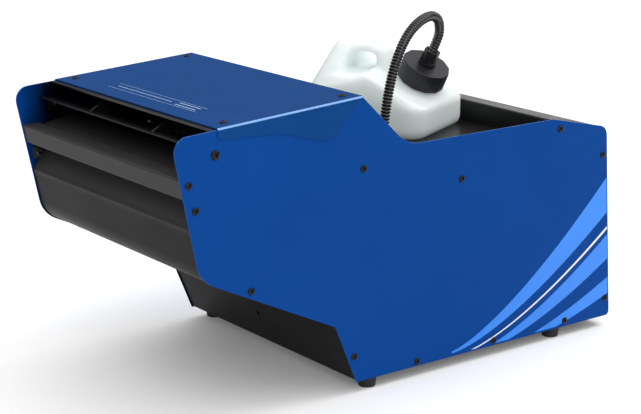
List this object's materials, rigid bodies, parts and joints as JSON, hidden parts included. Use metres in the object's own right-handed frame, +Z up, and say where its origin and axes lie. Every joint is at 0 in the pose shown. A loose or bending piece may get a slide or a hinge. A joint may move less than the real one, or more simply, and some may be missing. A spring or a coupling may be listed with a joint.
{
  "type": "fog machine",
  "caption": "Sheet-metal fog machine with a louvred front outlet, blue side panels and a rear tray holding a fluid bottle with a pickup hose.",
  "frame": {"origin": "centre of the bounding box on the floor under the feet", "axes": "+X to the right-hand side panel, -Y towards the fog outlet, +Z up"},
  "size_m": [0.3052, 0.5638, 0.354],
  "materials": {
    "panel_blue": "satin powder coat",
    "cover_blue": "satin powder coat",
    "chassis_black": "semi-gloss powder coat",
    "louvre_grey": "satin powder coat",
    "black_steel": "black oxide",
    "zinc_steel": "zinc plated",
    "rubber_black": "matte",
    "bottle_white": "translucent blow-moulded polyethylene",
    "cap_black": "moulded",
    "clear_plastic": "clear tube",
    "hose_black": "corrugated",
    "coil_cream": "taped coil",
    "copper": "drawn copper tube",
    "cast_alloy": "as cast",
    "jacket_foil": "glass-fibre insulation with foil",
    "brass": "machined",
    "fan_black": "glass-filled moulding",
    "board_green": "solder mask",
    "core_steel": "varnished laminations",
    "socket_black": "moulded",
    "rocker_red": "moulded",
    "bezel_black": "fine texture",
    "display_dark": "clear window over a dark display",
    "button_grey": "moulded",
    "socket_nickel": "nickel plated"
  },
  "bodies": {
    "housing": {"side_panel_right": "panel_blue", "side_panel_left": "panel_blue", "top_cover": "cover_blue", "top_inner_plate": "chassis_black", "upper_louvre": "chassis_black", "middle_louvre": "louvre_grey", "inner_deflector": "louvre_grey", "lower_front_panel": "louvre_grey", "base_pan": "louvre_grey", "rear_panel": "chassis_black", "tank_tray": "chassis_black", "fan_bulkhead": "chassis_black", "rubber_feet": "rubber_black", "foot_screws": "zinc_steel", "panel_screws_right": "black_steel", "panel_screws_left": "black_steel", "panel_nuts": "zinc_steel", "cover_screws": "black_steel", "feed_hose": "hose_black", "hose_grommet": "rubber_black", "pump_inlet_hose": "hose_black", "pump_body": "coil_cream", "pump_bracket": "zinc_steel", "pump_outlet_tube": "copper", "heater_block": "cast_alloy", "heater_jacket": "jacket_foil", "heater_brackets": "zinc_steel", "fog_nozzle": "brass", "thermostat": "zinc_steel", "fan_frame_left": "fan_black", "fan_frame_right": "fan_black", "fan_guards": "zinc_steel", "fan_screws": "zinc_steel", "main_board": "board_green", "board_standoffs": "brass", "transformer": "core_steel", "power_inlet": "socket_black", "fuse_holder": "socket_black", "switch_housing": "socket_black", "control_bezel": "bezel_black", "control_board": "board_green", "display": "display_dark", "data_in_socket": "socket_nickel", "data_out_socket": "socket_nickel"},
    "fan_rotor_left": {"fan_rotor_left": "fan_black"},
    "fan_rotor_right": {"fan_rotor_right": "fan_black"},
    "pump_plunger": {"pump_plunger": "zinc_steel"},
    "switch_rocker": {"switch_rocker": "rocker_red"},
    "fuse_cap": {"fuse_cap": "socket_black"},
    "button_1": {"button_1": "button_grey"},
    "button_2": {"button_2": "button_grey"},
    "button_3": {"button_3": "button_grey"},
    "button_4": {"button_4": "button_grey"},
    "bottle": {"fluid_bottle": "bottle_white", "hose_fitting": "cap_black", "pickup_tube": "clear_plastic", "pickup_filter": "zinc_steel"},
    "bottle_cap": {"bottle_cap": "cap_black"}
  },
  "joints": [
    {"name": "fan_spin_left", "type": "hinge", "parent": "housing", "child": "fan_rotor_left", "pos_m": [-0.066, -0.12, 0.185], "axis": [0, 1, 0], "continuous": true},
    {"name": "fan_spin_right", "type": "hinge", "parent": "housing", "child": "fan_rotor_right", "pos_m": [0.066, -0.12, 0.185], "axis": [0, 1, 0], "continuous": true},
    {"name": "pump_stroke", "type": "slide", "parent": "housing", "child": "pump_plunger", "axis": [0, 1, 0], "range_m": [-0.0015, 0.0015], "stiffness_N_per_m": 1500},
    {"name": "switch_rock", "type": "hinge", "parent": "housing", "child": "switch_rocker", "pos_m": [-0.1, 0.27343, 0.11623], "axis": [1, 0, 0], "range_deg": [-16, 0]},
    {"name": "fuse_cap_turn", "type": "hinge", "parent": "housing", "child": "fuse_cap", "pos_m": [-0.055, 0.2774, 0.06137], "axis": [0, 0.9974, 0.0721], "range_deg": [0, 90]},
    {"name": "button_press_1", "type": "slide", "parent": "housing", "child": "button_1", "axis": [0, -0.9974, -0.0721], "range_m": [0, 0.001], "stiffness_N_per_m": 300},
    {"name": "button_press_2", "type": "slide", "parent": "housing", "child": "button_2", "axis": [0, -0.9974, -0.0721], "range_m": [0, 0.001], "stiffness_N_per_m": 300},
    {"name": "button_press_3", "type": "slide", "parent": "housing", "child": "button_3", "axis": [0, -0.9974, -0.0721], "range_m": [0, 0.001], "stiffness_N_per_m": 300},
    {"name": "button_press_4", "type": "slide", "parent": "housing", "child": "button_4", "axis": [0, -0.9974, -0.0721], "range_m": [0, 0.001], "stiffness_N_per_m": 300},
    {"name": "bottle_lift", "type": "slide", "parent": "housing", "child": "bottle", "axis": [0, 0, 1], "range_m": [0, 0.11], "deforming": ["feed_hose"]},
    {"name": "cap_turn", "type": "hinge", "parent": "bottle", "child": "bottle_cap", "pos_m": [0.01113, 0.12112, 0.2724], "axis": [0.4673, 0.045, 0.8829], "range_deg": [0, 360]}
  ]
}
